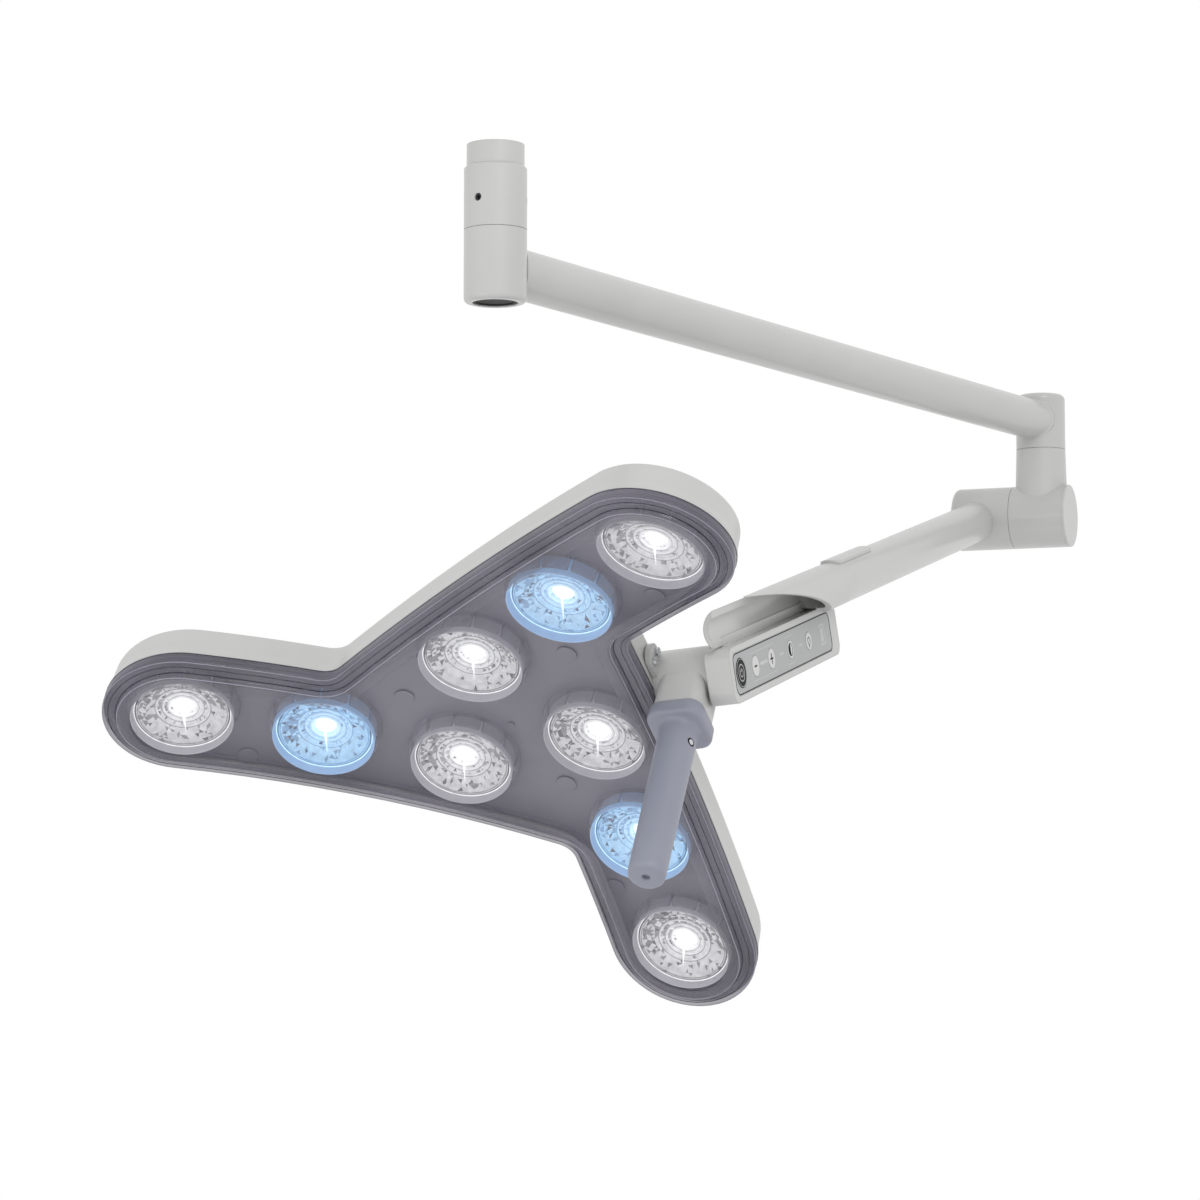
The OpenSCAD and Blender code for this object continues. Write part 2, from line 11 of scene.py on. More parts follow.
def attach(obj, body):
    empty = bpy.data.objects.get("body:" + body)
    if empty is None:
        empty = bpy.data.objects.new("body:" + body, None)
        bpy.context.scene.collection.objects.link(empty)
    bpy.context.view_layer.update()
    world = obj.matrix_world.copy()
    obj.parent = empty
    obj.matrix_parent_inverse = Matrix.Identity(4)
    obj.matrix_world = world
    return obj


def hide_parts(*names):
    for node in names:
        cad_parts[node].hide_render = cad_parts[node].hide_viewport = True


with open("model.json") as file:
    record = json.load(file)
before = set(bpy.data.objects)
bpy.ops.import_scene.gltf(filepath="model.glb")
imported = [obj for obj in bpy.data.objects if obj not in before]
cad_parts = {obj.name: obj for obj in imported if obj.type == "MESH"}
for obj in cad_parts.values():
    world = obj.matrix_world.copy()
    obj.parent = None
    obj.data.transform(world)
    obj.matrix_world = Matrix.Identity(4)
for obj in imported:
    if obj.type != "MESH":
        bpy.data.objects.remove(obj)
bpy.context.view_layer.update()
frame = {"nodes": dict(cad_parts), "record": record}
rng = random.Random(7)

# ---- Driving dimensions, the same as the part's, in millimetres ----
MM = 0.001
EXTENSION = 1056.0
ELBOW_TURN = 191.4
LIFT_LEVEL = -206.4
ARM_DROP = 12.4
ARM_OFFSET = 67.0
ARM_R = 21.2
ARM_LEVEL = -103.0
JOINT_R = 26.3
SPRING_ARM = 845.5
HUB_SIDE = 22.0
HUB_DROP = 43.0
HUB_CANT = 4.9
HEAD_TILT = -52.5
TILT_SEAM = 191.7
TILT_LEVEL = 23.7
ROW_OFFSET = 70.3
INNER_LAMP = 32.6
LAMP_PITCH = 126.0
TIP_X = INNER_LAMP + 2 * LAMP_PITCH
HALF_WIDTH = 69.5
CORNER_REACH = 90.0
DISH_R = 1500.0
HEAD_BACK = 41.0
LENS_R = 44.0
GRIP_Y = 166.3
GRIP_TOP = -24.95
GRIP_COLLAR_LOW = -40.3
LATCH_LEVEL = GRIP_COLLAR_LOW - 19.5
LATCH_TURN = 72.5
LENS_LEVEL = -1.3
HIGHLIGHT_STREAK_TURN = 18.8
GRIP_END = -206.3
GRIP_R = 17.0
BAR_THICK = 23.0
HOLE_STEPS = 56


def shift(x, y, z):
    return Matrix.Translation((x, y, z))


def turn(axis, degrees):
    return Matrix.Rotation(math.radians(degrees), 4, axis)


# ---- Frames of the assemblies, in millimetres ----
KNUCKLE = shift(EXTENSION, 0, 0) @ turn("Z", ELBOW_TURN)
ARM = KNUCKLE @ shift(0, 0, LIFT_LEVEL) @ turn("Y", ARM_DROP)
HUB = ARM @ shift(SPRING_ARM, -ARM_OFFSET - HUB_SIDE, -HUB_DROP) @ turn("X", HUB_CANT)
HEAD = HUB @ turn("Y", HEAD_TILT) @ shift(0, -TILT_SEAM, -TILT_LEVEL)


# ---- Materials ----

def new_material(name, colour, roughness, metallic=0.0, coat=0.0, coat_roughness=0.1, ior=1.5, specular=0.5):
    """A Principled material. Uniform values sit on the shader's own sockets."""
    material = bpy.data.materials.new(name)
    material.use_nodes = True
    shader = material.node_tree.nodes["Principled BSDF"]
    shader.inputs["Base Color"].default_value = (*colour, 1)
    shader.inputs["Roughness"].default_value = roughness
    shader.inputs["Metallic"].default_value = metallic
    shader.inputs["Coat Weight"].default_value = coat
    shader.inputs["Coat Roughness"].default_value = coat_roughness
    shader.inputs["IOR"].default_value = ior
    shader.inputs["Specular IOR Level"].default_value = specular
    return material, material.node_tree.nodes, material.node_tree.links, shader


def add_noise(nodes, links, scale, detail=3.0, stretch=(1, 1, 1)):
    place = nodes.new("ShaderNodeTexCoord")
    mapping = nodes.new("ShaderNodeMapping")
    mapping.inputs["Scale"].default_value = stretch
    noise = nodes.new("ShaderNodeTexNoise")
    noise.inputs["Scale"].default_value = scale
    noise.inputs["Detail"].default_value = detail
    links.new(place.outputs["Object"], mapping.inputs["Vector"])
    links.new(mapping.outputs["Vector"], noise.inputs["Vector"])
    return noise


def vary(nodes, links, noise, socket, low, high):
    """Drives a colour or a number between two values with a noise."""
    ramp = nodes.new("ShaderNodeValToRGB")
    ramp.color_ramp.elements[0].position = 0.3
    ramp.color_ramp.elements[1].position = 0.7
    low = low if isinstance(low, tuple) else (low, low, low)
    high = high if isinstance(high, tuple) else (high, high, high)
    ramp.color_ramp.elements[0].color = (*low, 1)
    ramp.color_ramp.elements[1].color = (*high, 1)
    links.new(noise.outputs["Fac"], ramp.inputs["Fac"])
    links.new(ramp.outputs["Color"], socket)
    return ramp


def add_bump(nodes, links, noise, shader, strength, distance, edge=0.0):
    """A fine surface grain, laid over softly rounded edges."""
    bump = nodes.new("ShaderNodeBump")
    bump.inputs["Strength"].default_value = strength
    bump.inputs["Distance"].default_value = distance
    links.new(noise.outputs["Fac"], bump.inputs["Height"])
    if edge:
        bevel = nodes.new("ShaderNodeBevel")
        bevel.samples = 4
        bevel.inputs["Radius"].default_value = edge
        links.new(bevel.outputs["Normal"], bump.inputs["Normal"])
    links.new(bump.outputs["Normal"], shader.inputs["Normal"])


def grained(name, colour, spread, roughness, scale, strength, edge=0.0008, **more):
    """A solid-coloured finish with soft cloudy variation, uneven gloss and a fine grain."""
    material, nodes, links, shader = new_material(name, colour, roughness, **more)
    cloud = add_noise(nodes, links, 9.0, 4.0)
    dark = tuple(max(0.0, c * (1 - spread)) for c in colour)
    light = tuple(min(1.0, c * (1 + spread)) for c in colour)
    vary(nodes, links, cloud, shader.inputs["Base Color"], dark, light)
    vary(nodes, links, cloud, shader.inputs["Roughness"], roughness * 0.86, min(1, roughness * 1.14))
    grain = add_noise(nodes, links, scale, 2.0)
    add_bump(nodes, links, grain, shader, strength, 0.0004, edge)
    return material


def brushed(name, colour, roughness, stretch):
    material, nodes, links, shader = new_material(name, colour, roughness, metallic=1.0)
    lines = add_noise(nodes, links, 60.0, 2.0, stretch)
    vary(nodes, links, lines, shader.inputs["Roughness"], roughness * 0.7, roughness * 1.3)
    vary(nodes, links, lines, shader.inputs["Base Color"],
         tuple(c * 0.88 for c in colour), tuple(min(1, c * 1.08) for c in colour))
    add_bump(nodes, links, lines, shader, 0.15, 0.0002, 0.0004)
    return material


def clear_finish(name, colour, facing_alpha, edge_alpha, roughness, spread=0.12):
    """Clear plastic: nearly unseen face on, and denser towards its edges."""
    material, nodes, links, shader = new_material(name, colour, roughness, ior=1.49)
    cloud = add_noise(nodes, links, 7.0, 2.0)
    vary(nodes, links, cloud, shader.inputs["Base Color"],
         tuple(c * (1 - spread) for c in colour), tuple(min(1, c * (1 + spread)) for c in colour))
    weight = nodes.new("ShaderNodeLayerWeight")
    weight.inputs["Blend"].default_value = 0.35
    span = nodes.new("ShaderNodeMapRange")
    span.inputs["To Min"].default_value = facing_alpha
    span.inputs["To Max"].default_value = edge_alpha
    links.new(weight.outputs["Facing"], span.inputs["Value"])
    links.new(span.outputs["Result"], shader.inputs["Alpha"])
    return material


def radial_distance(nodes, links):
    """Distance from the lamp's own axis, in metres."""
    place = nodes.new("ShaderNodeTexCoord")
    flat = nodes.new("ShaderNodeVectorMath")
    flat.operation = "MULTIPLY"
    flat.inputs[1].default_value = (1, 1, 0)
    length = nodes.new("ShaderNodeVectorMath")
    length.operation = "LENGTH"
    links.new(place.outputs["Object"], flat.inputs[0])
    links.new(flat.outputs["Vector"], length.inputs[0])
    return length.outputs["Value"]


def lit_optic(name, tint, centre, rim, strength, roughness=0.22):
    """The lit inside of a lamp: brightest at its axis and falling off to its rim."""
    material, nodes, links, shader = new_material(name, tint, roughness, coat=0.6, coat_roughness=0.05)
    grain = add_noise(nodes, links, 160.0, 3.0)
    vary(nodes, links, grain, shader.inputs["Base Color"],
         tuple(c * 0.62 for c in tint), tuple(min(1, c * 1.2) for c in tint))
    span = nodes.new("ShaderNodeMapRange")
    span.inputs["From Min"].default_value = 0.004
    span.inputs["From Max"].default_value = 0.034
    ramp = nodes.new("ShaderNodeValToRGB")
    ramp.color_ramp.elements[0].color = (*centre, 1)
    ramp.color_ramp.elements[1].color = (*rim, 1)
    middle = ramp.color_ramp.elements.new(0.42)
    middle.color = (*(0.30 * c + 0.70 * r for c, r in zip(centre, rim)), 1)
    links.new(radial_distance(nodes, links), span.inputs["Value"])
    links.new(span.outputs["Result"], ramp.inputs["Fac"])
    links.new(ramp.outputs["Color"], shader.inputs["Emission Color"])
    shader.inputs["Emission Strength"].default_value = strength
    return material


def frosted(name, colour, alpha, glow, strength):
    """Milky translucent plastic that picks up a little of the lamp's light."""
    material, nodes, links, shader = new_material(name, colour, 0.32, coat=0.4)
    cloud = add_noise(nodes, links, 40.0, 3.0)
    vary(nodes, links, cloud, shader.inputs["Base Color"],
         tuple(c * 0.9 for c in colour), tuple(min(1, c * 1.06) for c in colour))
    shader.inputs["Emission Color"].default_value = (*glow, 1)
    shader.inputs["Emission Strength"].default_value = strength
    shader.inputs["Alpha"].default_value = alpha
    return material


WHITE = (0.43, 0.432, 0.424)
looks = {
    "white_paint": grained("white_paint", WHITE, 0.035, 0.36, 900, 0.05, 0.0009, coat=0.25),
    "white_casting": grained("white_casting", (0.445, 0.447, 0.44), 0.035, 0.42, 700, 0.08, 0.0014, coat=0.15),
    "steel": brushed("steel", (0.62, 0.63, 0.65), 0.28, (1, 1, 12)),
    "black_steel": brushed("black_steel", (0.05, 0.05, 0.055), 0.42, (6, 6, 1)),
    "bronze": brushed("bronze", (0.62, 0.46, 0.22), 0.35, (1, 1, 8)),
    "dark_plastic": grained("dark_plastic", (0.012, 0.012, 0.013), 0.15, 0.5, 500, 0.03, specular=0.08),
    "circuit_board": grained("circuit_board", (0.02, 0.11, 0.05), 0.2, 0.45, 400, 0.2),
    "keypad_film": grained("keypad_film", (0.33, 0.335, 0.338), 0.04, 0.46, 1400, 0.05, 0.0005),
    "key_plastic": grained("key_plastic", (0.52, 0.52, 0.515), 0.03, 0.4, 900, 0.05, 0.0005),
    "indicator": grained("indicator", (0.82, 0.84, 0.86), 0.03, 0.22, 600, 0.05, 0.0004),
    "seal_rubber": grained("seal_rubber", (0.10, 0.095, 0.115), 0.12, 0.6, 500, 0.15),
    "carrier_grey": grained("carrier_grey", (0.165, 0.161, 0.178), 0.05, 0.42, 900, 0.012, 0.0006, coat=0.1),
    "mirror": brushed("mirror", (0.8, 0.81, 0.83), 0.12, (3, 3, 3)),
    "heat_sink": brushed("heat_sink", (0.5, 0.51, 0.53), 0.4, (1, 10, 1)),
    "frosted_clear": clear_finish("frosted_clear", (0.40, 0.395, 0.42), 0.34, 0.66, 0.25),
    "cover_face": clear_finish("cover_face", (0.40, 0.38, 0.50), 0.025, 0.22, 0.04),
    "cover_rim": clear_finish("cover_rim", (0.185, 0.175, 0.215), 0.36, 0.82, 0.06, 0.3),
    "grip_plastic": grained("grip_plastic", (0.225, 0.235, 0.285), 0.06, 0.45, 420, 0.10, 0.0012),
    "print_dark": grained("print_dark", (0.008, 0.008, 0.009), 0.2, 0.6, 500, 0.02, 0.0, specular=0.05),
    "print_light": grained("print_light", (0.50, 0.50, 0.50), 0.04, 0.45, 500, 0.02, 0.0),
    "print_patch": grained("print_patch", (0.41, 0.412, 0.415), 0.04, 0.45, 500, 0.02, 0.0),
    "optic_white": lit_optic("optic_white", (0.55, 0.55, 0.555), (1, 1, 1), (0.30, 0.30, 0.305), 0.9),
    # Darker copies of the lit optic: painted reflection on the bowl's grey and dark facets, and painted shade
    # between its rings.
    "optic_white_grey": lit_optic("optic_white_grey", (0.22, 0.22, 0.225), (0.9, 0.9, 0.9),
                                  (0.05, 0.05, 0.05), 0.7),
    "optic_white_dark": lit_optic("optic_white_dark", (0.05, 0.05, 0.055), (0.5, 0.5, 0.5), (0, 0, 0), 0.4),
    "optic_blue": lit_optic("optic_blue", (0.30, 0.48, 0.66), (0.80, 0.95, 1), (0.20, 0.40, 0.58), 0.95),
    "optic_blue_grey": lit_optic("optic_blue_grey", (0.15, 0.30, 0.48), (0.6, 0.85, 1),
                                 (0.05, 0.15, 0.28), 0.8),
    "optic_blue_dark": lit_optic("optic_blue_dark", (0.03, 0.07, 0.14), (0.3, 0.5, 0.8), (0, 0.01, 0.03), 0.4),
    "core_white": lit_optic("core_white", (0.8, 0.8, 0.8), (1, 1, 1), (0.55, 0.55, 0.55), 1.15),
    "core_blue": lit_optic("core_blue", (0.7, 0.85, 0.95), (0.93, 1, 1), (0.35, 0.62, 0.85), 1.15),
    "wall_white": frosted("wall_white", (0.40, 0.39, 0.42), 1.0, (0.8, 0.8, 0.85), 0.09),
    "wall_blue": frosted("wall_blue", (0.30, 0.42, 0.60), 1.0, (0.35, 0.62, 1.0), 0.22),
    # Dark lines on the clear cover: the real seam to the housing, and painted shade along its steps.
    "rim_seam_and_shade_line": grained("rim_seam_and_shade_line", (0.022, 0.019, 0.040), 0.2, 0.3, 500, 0.01, 0.0, specular=0.2),
    "rim_glint": grained("rim_glint", (0.30, 0.29, 0.36), 0.1, 0.15, 500, 0.01, 0.0, coat=0.6),
    "glass": clear_finish("glass", (0.6, 0.6, 0.62), 0.03, 0.35, 0.03, 0.04),
}


# ---- Mesh building ----

def piece(name, verts, faces, place, body, slot, materials, smooth=True, faces_material=None, stands_for=()):
    """Builds one visual piece from local millimetre points. Its origin sits at its own frame."""
    mesh = bpy.data.meshes.new(name)
    mesh.from_pydata([Vector(v) * MM for v in verts], [], faces)
    for look in materials:
        mesh.materials.append(looks[look])
    if faces_material:
        mesh.polygons.foreach_set("material_index", faces_material)
    mesh.validate()
    bm = bmesh.new()
    bm.from_mesh(mesh)
    bmesh.ops.recalc_face_normals(bm, faces=bm.faces)
    bm.to_mesh(mesh)
    bm.free()
    mesh.polygons.foreach_set("use_smooth", [smooth] * len(mesh.polygons))
    obj = bpy.data.objects.new(name, mesh)
    bpy.context.scene.collection.objects.link(obj)
    world = place.copy()
    world.translation = place.translation * MM
    obj.matrix_world = world
    if smooth:
        mesh.set_sharp_from_angle(angle=math.radians(38))
    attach(obj, body)
    if stands_for:
        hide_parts(*stands_for)
    return obj


def joined(parts):
    """Several (verts, faces) lists as one."""
    verts, faces = [], []
    for v, f in parts:
        base = len(verts)
        verts += list(v)
        faces += [tuple(i + base for i in face) for face in f]
    return verts, faces


def moved(part, matrix):
    verts, faces = part
    return [matrix @ Vector(v) for v in verts], faces


def revolve(profile, count, close=True, start=0.0):
    """Turns (radius, height) points about Z. Points on the axis become one vertex."""
    verts, faces, rings = [], [], []
    for r, z in profile:
        if r < 1e-6:
            rings.append([len(verts)])
            verts.append((0, 0, z))
            continue
        rings.append(list(range(len(verts), len(verts) + count)))
        for k in range(count):
            a = start + 2 * math.pi * k / count
            verts.append((r * math.cos(a), r * math.sin(a), z))
    pairs = list(zip(rings, rings[1:] + rings[:1])) if close else list(zip(rings, rings[1:]))
    for one, two in pairs:
        for k in range(count):
            m = (k + 1) % count
            if len(one) == 1 and len(two) == 1:
                continue
            if len(one) == 1:
                faces.append((one[0], two[m], two[k]))
            elif len(two) == 1:
                faces.append((one[k], one[m], two[0]))
            else:
                faces.append((one[k], one[m], two[m], two[k]))
    return verts, faces


def bead(radius, thick, level, count=72, sides=10, squash=1.0):
    """A round bead turned about Z."""
    ring = [(radius + thick * math.cos(2 * math.pi * s / sides),
             level + squash * thick * math.sin(2 * math.pi * s / sides)) for s in range(sides)]
    return revolve(ring, count)


def loft(loops, cap_start=True, cap_end=True):
    """Joins loops of equal length into a closed tube with flat ends."""
    count = len(loops[0])
    verts = [p for loop in loops for p in loop]
    faces = []
    for n in range(len(loops) - 1):
        for k in range(count):
            m = (k + 1) % count
            faces.append((n * count + k, n * count + m, (n + 1) * count + m, (n + 1) * count + k))
    if cap_start:
        faces.append(tuple(range(count))[::-1])
    if cap_end:
        faces.append(tuple(range((len(loops) - 1) * count, len(loops) * count)))
    return verts, faces


# ---- The head's outline and its dish ----

def sag(x, y):
    return math.sqrt(DISH_R * DISH_R - x * x - y * y) - DISH_R


def head_outline(w, arc=10, tip=30, run_points=7):
    """The three-armed outline at half-width w, as points in the head's plane."""
    xc = (ROW_OFFSET + w - 0.5 * (w - ROW_OFFSET)) / math.cos(math.radians(30))
    yc = w - ROW_OFFSET
    fillet = CORNER_REACH - w
    cx, cy = xc + fillet / math.tan(math.radians(60)), yc + fillet
    points = []
    for a in (60, -60, -180):
        local = []
        for k in range(arc + 1):
            t = math.radians(210 + 60 * k / arc)
            local.append((cx + fillet * math.cos(t), cy + fillet * math.sin(t)))
        for k in range(1, run_points):
            local.append((cx + (TIP_X - cx) * k / run_points, yc))
        for k in range(tip + 1):
            t = math.radians(90 - 180 * k / tip)
            local.append((TIP_X + w * math.cos(t), -ROW_OFFSET + w * math.sin(t)))
        low_x = next_arm_start(w)
        for k in range(1, run_points + 4):
            local.append((TIP_X + (low_x - TIP_X) * k / (run_points + 4), -ROW_OFFSET - w))
        c, s = math.cos(math.radians(a)), math.sin(math.radians(a))
        points += [(x * c - y * s, x * s + y * c) for x, y in local]
    return points


def next_arm_start(w):
    """Where an arm's long edge meets the next arm's corner, along the arm."""
    xc = (ROW_OFFSET + w - 0.5 * (w - ROW_OFFSET)) / math.cos(math.radians(30))
    yc = w - ROW_OFFSET
    fillet = CORNER_REACH - w
    cx, cy = xc + fillet / math.tan(math.radians(60)), yc + fillet
    t = math.radians(210)
    x, y = cx + fillet * math.cos(t), cy + fillet * math.sin(t)
    a = math.radians(-120)
    return x * math.cos(a) - y * math.sin(a)


def dish_loop(w, level):
    return [(x, y, level + sag(x, y)) for x, y in head_outline(w)]


def inside(x, y, loop):
    """Whether a point of the head's plane lies inside a loop."""
    crossings = 0
    for (x0, y0, _), (x1, y1, _) in zip(loop, loop[1:] + loop[:1]):
        if (y0 > y) != (y1 > y) and x < x0 + (y - y0) * (x1 - x0) / (y1 - y0):
            crossings += 1
    return crossings % 2 == 1


def fill_dish(border, holes, level, pitch=20.0, margin=5.0):
    """Fills a border with triangles that follow the dish. Returns the points after the border's,
    with the holes' points first, and the triangles."""
    rings = [[(x + r * math.cos(2 * math.pi * s / HOLE_STEPS), y + r * math.sin(2 * math.pi * s / HOLE_STEPS))
              for s in range(HOLE_STEPS)] for x, y, r in holes]
    points = [(x, y) for x, y, _ in border]
    edges = [(k, (k + 1) % len(border)) for k in range(len(border))]
    for ring in rings:
        base = len(points)
        points += ring
        edges += [(base + k, base + (k + 1) % HOLE_STEPS) for k in range(HOLE_STEPS)]
    reach = int(450 / pitch)
    for i in range(-reach, reach + 1):
        for j in range(-reach, reach + 1):
            x, y = pitch * (i + 0.5 * (j % 2)), pitch * j
            near = min(math.hypot(x - bx, y - by) for bx, by, _ in border)
            clear = all(math.hypot(x - hx, y - hy) > r + margin for hx, hy, r in holes)
            if near > margin and clear and inside(x, y, border):
                points.append((x, y))
    made = delaunay_2d_cdt([Vector(p) for p in points], edges, [], 0, 1e-5)
    triangles = []
    for face in made[2]:
        cx = sum(made[0][v].x for v in face) / 3
        cy = sum(made[0][v].y for v in face) / 3
        open_here = any(math.hypot(cx - hx, cy - hy) < r for hx, hy, r in holes)
        if inside(cx, cy, border) and not open_here:
            triangles.append(tuple(made[3][v][0] for v in face))
    return [(x, y, level + sag(x, y)) for x, y in points[len(border):]], triangles


def dished_shell(name, profile, slot, materials, rim_rings=0, holes=(), stands_for=()):
    """A closed shell round the head: loops at (half-width, level), with both ends filled to the dish.
    Round holes, given as (x, y, radius), go through both fills and get a wall."""
    loops = [dish_loop(w, level) for w, level in profile]
    count = len(loops[0])
    verts, faces = loft(loops, cap_start=False, cap_end=False)
    marks = [1 if k // count < rim_rings else 0 for k in range(len(faces))]
    first_hole = []
    for start, loop, level in ((0, loops[0], profile[0][1]), (len(verts) - count, loops[-1], profile[-1][1])):
        extra, triangles = fill_dish(loop, holes, level)
        base = len(verts)
        first_hole.append(base)
        verts += extra
        for face in triangles:
            faces.append(tuple(start + v if v < count else base + v - count for v in face))
            marks.append(0)
    for h in range(len(holes)):
        for s in range(HOLE_STEPS):
            here, after = h * HOLE_STEPS + s, h * HOLE_STEPS + (s + 1) % HOLE_STEPS
            faces.append((first_hole[0] + here, first_hole[0] + after,
                          first_hole[1] + after, first_hole[1] + here))
            marks.append(0)
    return piece(name, verts, faces, HEAD, "head", slot, materials,
                 faces_material=marks, stands_for=stands_for)


def row_point(arm, x, y):
    a = math.radians(arm)
    return x * math.cos(a) - y * math.sin(a), x * math.sin(a) + y * math.cos(a)


def lamp_point(number):
    arm = 60 + 120 * ((number - 1) // 3)
    return row_point(arm, INNER_LAMP + LAMP_PITCH * ((number - 1) % 3), -ROW_OFFSET)


def on_dish(x, y):
    """The frame standing on the dish at a point of the head's plane."""
    spread = math.hypot(x, y)
    around = math.degrees(math.atan2(y, x))
    lean = math.degrees(math.asin(spread / DISH_R))
    return (HEAD @ shift(0, 0, -DISH_R) @ turn("Z", around) @ turn("Y", lean)
            @ shift(0, 0, DISH_R) @ turn("Z", -around))


# ---- The head's large pieces ----

def rim_bead(name, w, level, thick, look, slot):
    """A thin raised line that follows the head's outline."""
    loops = [dish_loop(w + thick * math.cos(math.radians(a)), level + thick * math.sin(math.radians(a)))
             for a in range(0, 361, 60)]
    verts, faces = loft(loops, cap_start=False, cap_end=False)
    piece(name, verts, faces, HEAD, "head", slot, [look])


def make_housing():
    profile = [(48, 38), (62.5, 38), (65.6, 36.6), (66.6, 33), (66.6, 8.6), (HALF_WIDTH + 0.5, 8.2),
               (HALF_WIDTH + 0.5, 9.4), (HALF_WIDTH - 0.6, 16.6), (HALF_WIDTH - 1.2, 18.2),
               (HALF_WIDTH - 1.5, 36.5), (HALF_WIDTH - 2.1, 39), (HALF_WIDTH - 3.4, 40.5),
               (HALF_WIDTH - 5.4, HEAD_BACK), (48, HEAD_BACK)]
    dished_shell("housing_shell", profile, "white_casting", ["white_casting"],
                 stands_for=("rear_housing",))


def make_cover():
    profile = [(44, -11.4), (50.4, -11.2), (53.6, -10.2), (55.3, -8.5), (56.2, -6.4), (56.8, -4.9), (57.6, -4.3),
               (60, -4.0), (66.6, -3.3), (68.4, -2.9), (HALF_WIDTH - 0.4, -2.2), (HALF_WIDTH, -1), (HALF_WIDTH, 7.5),
               (66.4, 7.5), (66.2, 0), (65, -0.8), (58.5, -1.6), (55.2, -2.4),
               (54, -6.4), (52, -8.6), (49.5, -9.5), (44, -9.7)]
    rim = len(profile) - 3
    dished_shell("clear_cover_shell", profile, "clear_cover", ["cover_face", "cover_rim"], rim_rings=rim,
                 stands_for=("front_cover",))
    # The top dark line marks the real seam to the housing. The shelf and step lines are painted shade along the
    # cover's steps, and the glint beads are painted highlights.
    rim_bead("cover_seam_line", HALF_WIDTH - 0.2, 7.9, 0.45, "rim_seam_and_shade_line", "clear_cover")
    rim_bead("cover_edge_glint", HALF_WIDTH - 0.9, -2.5, 0.32, "rim_glint", "clear_cover")
    rim_bead("cover_shelf_shade_line", 63.5, -3.7, 0.30, "rim_seam_and_shade_line", "clear_cover")
    rim_bead("cover_step_shade_line", 57.0, -4.7, 0.42, "rim_seam_and_shade_line", "clear_cover")
    rim_bead("cover_step_glint", 54.7, -9.2, 0.38, "rim_glint", "clear_cover")


def make_carrier():
    holes = [(*lamp_point(n), LENS_R + 1.0) for n in range(1, 10)]
    dished_shell("carrier_sheet", [(65.6, 13), (65.6, 11.4), (65.1, 11), (60, 11)], "carrier_grey",
                 ["carrier_grey"], holes=holes, stands_for=("carrier_plate",))
    rim_bead("carrier_rim", 60.6, 10.6, 0.9, "carrier_grey", "carrier_grey")


# ---- Lamps ----

def make_bowl():
    """The faceted bowl behind a lens: rings of small flats at uneven depths.
    Returns the points, the faces, and each face's painted shade: 0 light, 1 grey, 2 dark; the grey and dark facets
    are painted reflection."""
    facets = 46
    rings = [(41.3, 0.3), (38.6, 1.0), (35.4, 2.2), (32, 4.0), (28.6, 6.0), (25, 8.0),
             (21.4, 9.4), (17.8, 10.4), (14, 11.2), (10, 11.7)]
    verts, faces, shades = [], [], []
    for n, (r, z) in enumerate(rings):
        ends = n in (0, len(rings) - 1)
        for k in range(facets):
            a = 2 * math.pi * (k + 0.5 * (n % 2)) / facets
            deep = 0.0 if ends else rng.uniform(-0.9, 1.2)
            wander = 0.0 if ends else rng.uniform(-0.05, 0.05)
            reach = r if ends else r + rng.uniform(-0.9, 0.9)
            verts.append((reach * math.cos(a + wander), reach * math.sin(a + wander), z + deep))
    for n in range(len(rings) - 1):
        for k in range(facets):
            m = (k + 1) % facets
            a, b, c, d = n * facets + k, n * facets + m, (n + 1) * facets + m, (n + 1) * facets + k
            pair = [(a, b, c), (a, c, d)] if n % 2 else [(a, b, d), (b, c, d)]
            for face in pair:
                faces.append(face)
                r = rings[n][0]
                # Painted reflection: grey and dark facets fall more often on one side of the bowl and in its middle
                # rings.
                shade_odds = 0.56 if verts[face[0]][0] > -6 else 0.16
                shade_odds *= 1.0 if 17 < r < 40 else 0.35
                draw = rng.random()
                shades.append(2 if draw < 0.22 * shade_odds else 1 if draw < shade_odds else 0)
    faces.append(tuple(range((len(rings) - 1) * facets, len(rings) * facets)))
    shades.append(0)
    return verts, faces, shades


